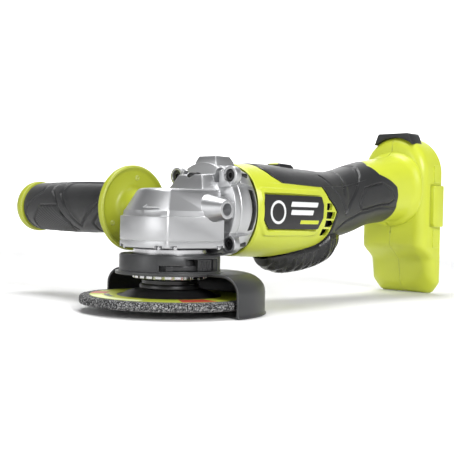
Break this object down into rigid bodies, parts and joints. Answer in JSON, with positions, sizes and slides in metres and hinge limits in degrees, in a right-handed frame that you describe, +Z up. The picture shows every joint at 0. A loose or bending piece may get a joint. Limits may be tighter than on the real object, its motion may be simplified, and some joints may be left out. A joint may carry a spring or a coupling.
{
  "type": "cordless angle grinder",
  "caption": "Cordless angle grinder: gear head with a guarded grinding wheel, screw-in side handle, round motor housing, rubber-gripped body and an open battery socket.",
  "frame": {"origin": "centre of the spindle's lower end face", "axes": "+X from the gear head to the battery socket, +Y to the side with the side handle, +Z up along the spindle"},
  "size_m": [0.3351, 0.2339, 0.1331],
  "materials": {
    "lime_plastic": "satin moulded plastic",
    "rubber": "soft overmoulding",
    "black_plastic": "textured",
    "cast_aluminium": "die cast",
    "guard_steel": "black powder coat",
    "steel": "machined",
    "abrasive": "gritty bonded abrasive",
    "badge": "printed plate",
    "copper": "copper windings and leads",
    "board": "coated circuit board"
  },
  "bodies": {
    "tool_body": {"gear_case": "cast_aluminium", "case_screw_1": "steel", "case_screw_2": "steel", "case_screw_3": "steel", "case_screw_4": "steel", "bearing_cover": "steel", "lower_spindle_bearing": "steel", "upper_spindle_bearing": "steel", "motor_front_bearing": "steel", "motor_rear_bearing": "steel", "motor_adapter": "cast_aluminium", "stator": "copper", "motor_end_bracket": "black_plastic", "control_board": "board", "switch_module": "black_plastic", "capacitor_block": "black_plastic", "terminal_block": "black_plastic", "motor_lead_1": "copper", "motor_lead_2": "copper", "motor_lead_3": "copper", "battery_lead_minus": "copper", "battery_lead_plus": "copper", "housing_left": "lime_plastic", "housing_right": "lime_plastic", "handle_grip": "rubber", "top_pad": "rubber", "intake_screen": "black_plastic", "badge_left": "badge", "badge_right": "badge", "socket_bumper": "rubber", "housing_screw_1": "steel", "housing_screw_2": "steel", "housing_screw_3": "steel", "housing_screw_4": "steel", "spindle_lock_spring": "steel"},
    "spindle_set": {"spindle": "steel", "crown_gear": "steel", "inner_flange": "guard_steel", "grinding_wheel": "abrasive", "clamp_nut": "steel"},
    "rotor_set": {"motor_shaft": "steel", "rotor": "steel", "pinion": "steel", "cooling_fan": "black_plastic"},
    "guard": {"guard_collar": "guard_steel", "guard_shroud": "guard_steel", "latch_pin": "steel", "latch_spring": "steel"},
    "guard_clamp": {"guard_latch": "guard_steel"},
    "side_handle": {"handle_stud": "steel", "handle_flange": "lime_plastic", "handle_sleeve": "rubber", "handle_end_cap": "lime_plastic"},
    "lock_button": {"spindle_lock_button": "black_plastic"},
    "power_switch": {"power_slider": "black_plastic", "switch_rod": "black_plastic"}
  },
  "joints": [
    {"name": "spindle_spin", "type": "hinge", "parent": "tool_body", "child": "spindle_set", "pos_m": [0, 0, 0], "axis": [0, 0, 1], "continuous": true},
    {"name": "rotor_spin", "type": "hinge", "parent": "tool_body", "child": "rotor_set", "pos_m": [0.05, 0, 0.058], "axis": [1, 0, 0], "continuous": true},
    {"name": "guard_turn", "type": "hinge", "parent": "tool_body", "child": "guard", "pos_m": [0, 0, 0], "axis": [0, 0, 1], "range_deg": [-90, 90]},
    {"name": "latch_swing", "type": "hinge", "parent": "guard", "child": "guard_clamp", "pos_m": [0.00933, -0.02872, 0.0231], "axis": [0, 0, 1], "range_deg": [0, 14], "stiffness_Nm_per_rad": 0.2, "springref_deg": -8.59},
    {"name": "handle_turn", "type": "hinge", "parent": "tool_body", "child": "side_handle", "pos_m": [0.0134, 0.045, 0.058], "axis": [0, 1, 0], "range_deg": [0, 360]},
    {"name": "lock_press", "type": "slide", "parent": "tool_body", "child": "lock_button", "axis": [0, 0, -1], "range_m": [0, 0.004], "stiffness_N_per_m": 400, "springref_m": -0.002, "deforming": ["spindle_lock_spring"]},
    {"name": "slider_slide", "type": "slide", "parent": "tool_body", "child": "power_switch", "axis": [-1, 0, 0], "range_m": [0, 0.008]}
  ],
  "couplings": [
    {"joint": "rotor_spin", "follows": "spindle_spin", "ratio": 3}
  ]
}
